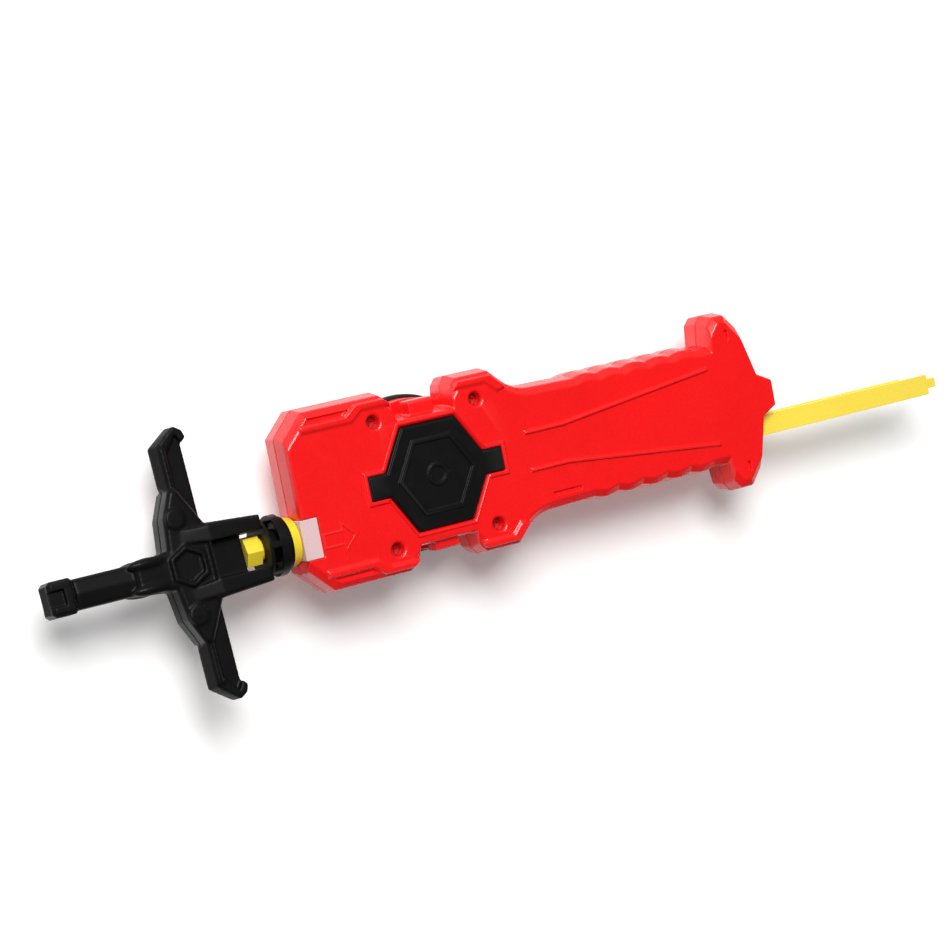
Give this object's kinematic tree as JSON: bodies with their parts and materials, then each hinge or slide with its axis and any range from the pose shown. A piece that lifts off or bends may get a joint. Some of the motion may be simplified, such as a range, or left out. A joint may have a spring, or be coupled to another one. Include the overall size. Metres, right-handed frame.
{
  "type": "spinning top launcher",
  "caption": "Hand-held launcher with a scalloped grip: a toothed strip pulled by a cross-shaped handle turns a clawed rotor that spins a top.",
  "frame": {"origin": "on the spindle axis, at the mouth of the rotor's centring socket in its launch face", "axes": "+Z along the spindle from the launch face to the front face, +X along the grip from the head to the flare, the strip runs on the -Y side"},
  "size_m": [0.353, 0.0919, 0.0384],
  "materials": {
    "red_plastic": "satin gloss moulded red",
    "black_plastic": "satin moulded black",
    "yellow_plastic": "flexible moulded yellow",
    "pale_plastic": "natural nylon",
    "steel": "plated steel",
    "bronze": "sintered bronze"
  },
  "bodies": {
    "launcher": {"front_shell": "red_plastic", "rear_shell": "red_plastic", "hex_cap": "black_plastic", "entry_guide": "pale_plastic", "tail_guide": "pale_plastic", "front_bush": "bronze", "rear_bush": "bronze", "head_screws": "steel", "grip_screws": "steel"},
    "spindle": {"drive_gear": "pale_plastic", "spindle_shaft": "steel", "launch_rotor": "black_plastic", "thrust_washer": "steel", "retaining_clip": "steel"},
    "strip": {"rip_strip": "yellow_plastic"},
    "handle": {"hilt_front": "black_plastic", "hilt_rear": "black_plastic", "hilt_screws": "steel", "neck_ring": "black_plastic", "pommel_cap": "black_plastic"}
  },
  "joints": [
    {"name": "strip_pull", "type": "slide", "parent": "launcher", "child": "strip", "axis": [-1, 0, 0], "range_m": [0, 0.262]},
    {"name": "spindle_spin", "type": "hinge", "parent": "launcher", "child": "spindle", "pos_m": [0, 0, 0], "axis": [0, 0, 1], "continuous": true},
    {"name": "handle_swivel", "type": "hinge", "parent": "strip", "child": "handle", "pos_m": [-0.0648, -0.01145, 0.0185], "axis": [1, 0, 0], "continuous": true}
  ],
  "couplings": [
    {"joint": "spindle_spin", "follows": "strip_pull", "rad_per_m": -105.26}
  ]
}
